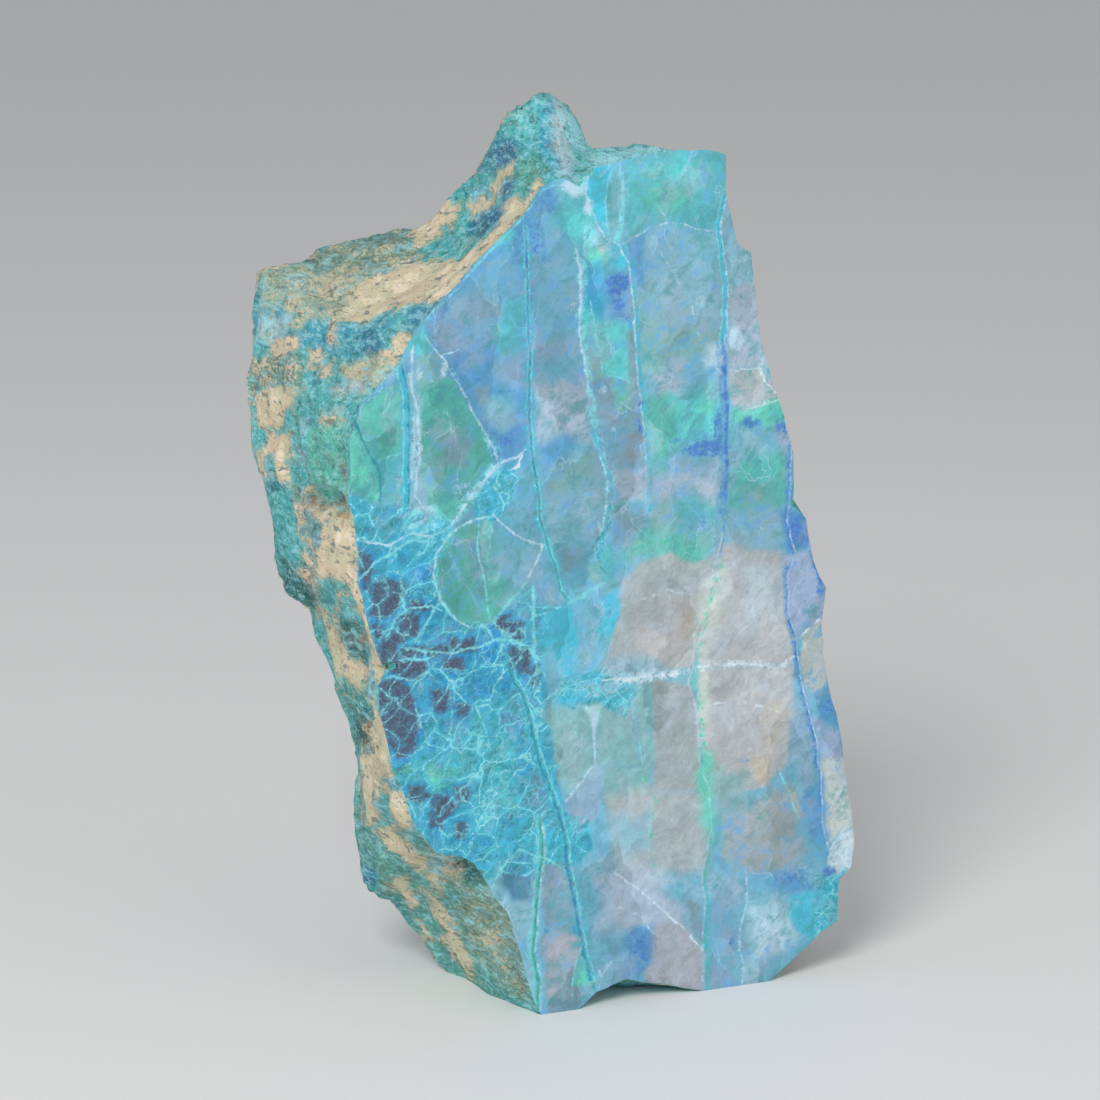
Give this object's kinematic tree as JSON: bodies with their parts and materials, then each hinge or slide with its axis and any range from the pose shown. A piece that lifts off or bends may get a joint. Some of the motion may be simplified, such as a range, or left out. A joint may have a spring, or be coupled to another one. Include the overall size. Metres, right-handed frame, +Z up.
{
  "type": "polished chrysocolla slab",
  "caption": "Self-standing natural stone with a flat polished front of irregular outline and rough sides, top and back.",
  "frame": {"origin": "middle of the bounding box's underside, on the surface that the stone stands on", "axes": "+Z up; -Y out of the polished face; +X to the right as seen from in front of the polished face"},
  "size_m": [0.0944, 0.0534, 0.1536],
  "materials": {
    "stone": "polished front, matt rough natural sides and back"
  },
  "bodies": {
    "root": {"chrysocolla_slab": "stone"}
  },
  "joints": []
}
